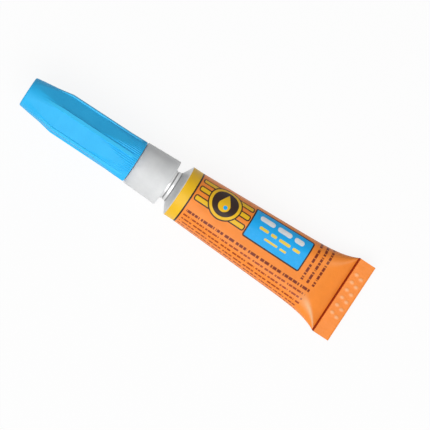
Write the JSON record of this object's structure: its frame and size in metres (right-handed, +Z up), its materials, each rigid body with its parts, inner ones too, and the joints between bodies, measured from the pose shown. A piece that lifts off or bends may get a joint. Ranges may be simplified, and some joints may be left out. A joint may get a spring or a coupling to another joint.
{
  "type": "glue tube",
  "caption": "Small collapsible metal tube of glue with a folded end, a screw-on frosted nozzle that pierces the sealed neck and a ribbed blue screw cap with flat panels.",
  "frame": {"origin": "centre of the tube's footprint, on the surface it lies on", "axes": "+X along the tube toward the cap, with its axis raised 4.55 degrees at the cap end as it rests on its flat underside; +Y across the folded end; +Z up"},
  "size_m": [0.0883, 0.0198, 0.0143],
  "materials": {
    "enamelled_sleeve": "gloss",
    "bare_aluminium": "satin",
    "enamelled_fold": "gloss",
    "latex_sealant": "matte",
    "foil": "satin",
    "clear_adhesive": "gloss",
    "frosted_plastic": "satin",
    "blue_plastic": "satin",
    "pin_steel": "satin"
  },
  "bodies": {
    "tube": {"tube_sleeve": "enamelled_sleeve", "tube_head": "bare_aluminium", "end_fold": "enamelled_fold", "end_sealant": "latex_sealant", "adhesive": "clear_adhesive"},
    "membrane": {"membrane": "foil"},
    "nozzle": {"nozzle": "frosted_plastic"},
    "cap_pin": {"cap_pin": "pin_steel"},
    "cap": {"cap": "blue_plastic"}
  },
  "joints": [
    {"name": "nozzle_advance", "type": "slide", "parent": "tube", "child": "membrane", "axis": [0.9969, 0, 0.0793], "range_m": [-0.0015, 0]},
    {"name": "nozzle_turn", "type": "hinge", "parent": "membrane", "child": "nozzle", "pos_m": [0.01052, 0, 0.00711], "axis": [0.9969, 0, 0.0793], "range_deg": [-540, 0]},
    {"name": "cap_lift", "type": "slide", "parent": "nozzle", "child": "cap_pin", "axis": [0.9969, 0, 0.0793], "range_m": [0, 0.025]},
    {"name": "cap_turn", "type": "hinge", "parent": "cap_pin", "child": "cap", "pos_m": [0.01769, 0, 0.00769], "axis": [0.9969, 0, 0.0793], "range_deg": [0, 2250]}
  ],
  "couplings": [
    {"joint": "nozzle_turn", "follows": "nozzle_advance", "rad_per_m": 6283.2},
    {"joint": "cap_turn", "follows": "cap_lift", "rad_per_m": 1570.8}
  ]
}
